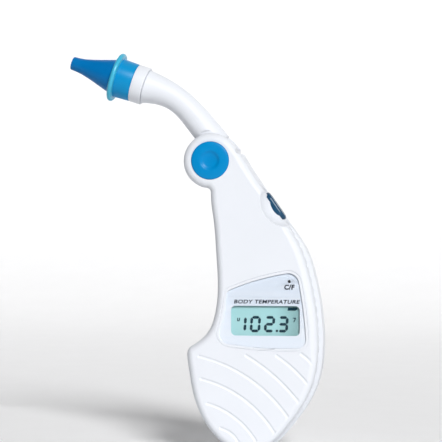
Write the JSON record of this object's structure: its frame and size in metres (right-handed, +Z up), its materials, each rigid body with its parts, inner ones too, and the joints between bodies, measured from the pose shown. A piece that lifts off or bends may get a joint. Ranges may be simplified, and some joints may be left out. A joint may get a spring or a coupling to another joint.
{
  "type": "digital thermometer",
  "caption": "Hand-held ear thermometer with an egg-shaped case, a display window, a side scan button and a probe on a folding arm.",
  "frame": {"origin": "on the flat back of the case, straight behind the display window and 0.4 mm under its middle", "axes": "+X to the right of the display seen from the front, +Y out of the back, +Z up the display"},
  "size_m": [0.1074, 0.025, 0.1676],
  "materials": {
    "case_white": "gloss moulded",
    "probe_blue": "gloss moulded",
    "button_blue": "gloss moulded",
    "ring_cyan": "gloss moulded",
    "clear_window": "clear",
    "panel_grey": "printed film",
    "display_glass": "grey-green cell",
    "frame_black": "moulded",
    "strip_rubber": "matt",
    "board_green": "solder mask",
    "chip_black": "matt resin",
    "passive_tan": "fired",
    "cell_steel": "plated",
    "contact_steel": "plated",
    "screw_steel": "zinc plated",
    "seal_rubber": "matt",
    "plug_white": "moulded",
    "cable_grey": "matt sheath",
    "pivot_metal": "turned",
    "washer_white": "slippery film",
    "sensor_can": "drawn",
    "guide_gold": "polished",
    "holder_metal": "turned",
    "window_dark": "infrared window",
    "buzzer_black": "moulded"
  },
  "bodies": {
    "body": {"front_shell": "case_white", "rear_shell": "case_white", "display_lens": "clear_window", "panel_label": "panel_grey", "lcd_panel": "display_glass", "lcd_holder": "frame_black", "contact_strips": "strip_rubber", "circuit_board": "board_green", "controller_chip": "chip_black", "small_chips": "chip_black", "passives": "passive_tan", "buzzer": "buzzer_black", "scan_switch": "frame_black", "unit_switch": "frame_black", "cable_socket": "plug_white", "cable_plug": "plug_white", "coin_cell": "cell_steel", "side_contact": "contact_steel", "face_contact": "contact_steel", "cell_door_seal": "seal_rubber", "case_screws": "screw_steel", "board_screws": "screw_steel", "lock_spring": "contact_steel", "pivot_sleeve": "pivot_metal", "pivot_washer": "washer_white", "pivot_cover": "case_white", "body_cable": "cable_grey"},
    "arm": {"arm_front_half": "case_white", "arm_rear_half": "case_white", "probe_collar": "case_white", "probe_base": "probe_blue", "stop_ring": "ring_cyan", "probe_cone": "probe_blue", "probe_window": "window_dark", "wave_guide": "guide_gold", "sensor_holder": "holder_metal", "infrared_sensor": "sensor_can", "sensor_pins": "contact_steel", "sensor_board": "board_green", "arm_cable": "cable_grey"},
    "release_button": {"lock_button": "button_blue"},
    "scan_button": {"scan_button": "probe_blue", "scan_switch_plunger": "frame_black"},
    "unit_button": {"unit_plunger": "frame_black"},
    "cell_door": {"cell_door": "case_white"}
  },
  "joints": [
    {"name": "arm_fold", "type": "hinge", "parent": "body", "child": "arm", "pos_m": [-0.0234, -0.0125, 0.0666], "axis": [0, -1, 0], "range_deg": [0, 120]},
    {"name": "release_press", "type": "slide", "parent": "body", "child": "release_button", "axis": [0, 1, 0], "range_m": [0, 0.0012], "stiffness_N_per_m": 600, "springref_m": -0.002, "deforming": ["lock_spring"]},
    {"name": "scan_press", "type": "slide", "parent": "body", "child": "scan_button", "axis": [-0.8192, 0, -0.5736], "range_m": [0, 0.0006], "stiffness_N_per_m": 900, "springref_m": -0.001},
    {"name": "unit_press", "type": "slide", "parent": "body", "child": "unit_button", "axis": [0, 1, 0], "range_m": [0, 0.00025], "stiffness_N_per_m": 400, "springref_m": -0.001},
    {"name": "cell_door_turn", "type": "hinge", "parent": "body", "child": "cell_door", "pos_m": [-0.0059, -0.001, -0.0254], "axis": [0, 1, 0], "range_deg": [0, 40]}
  ]
}
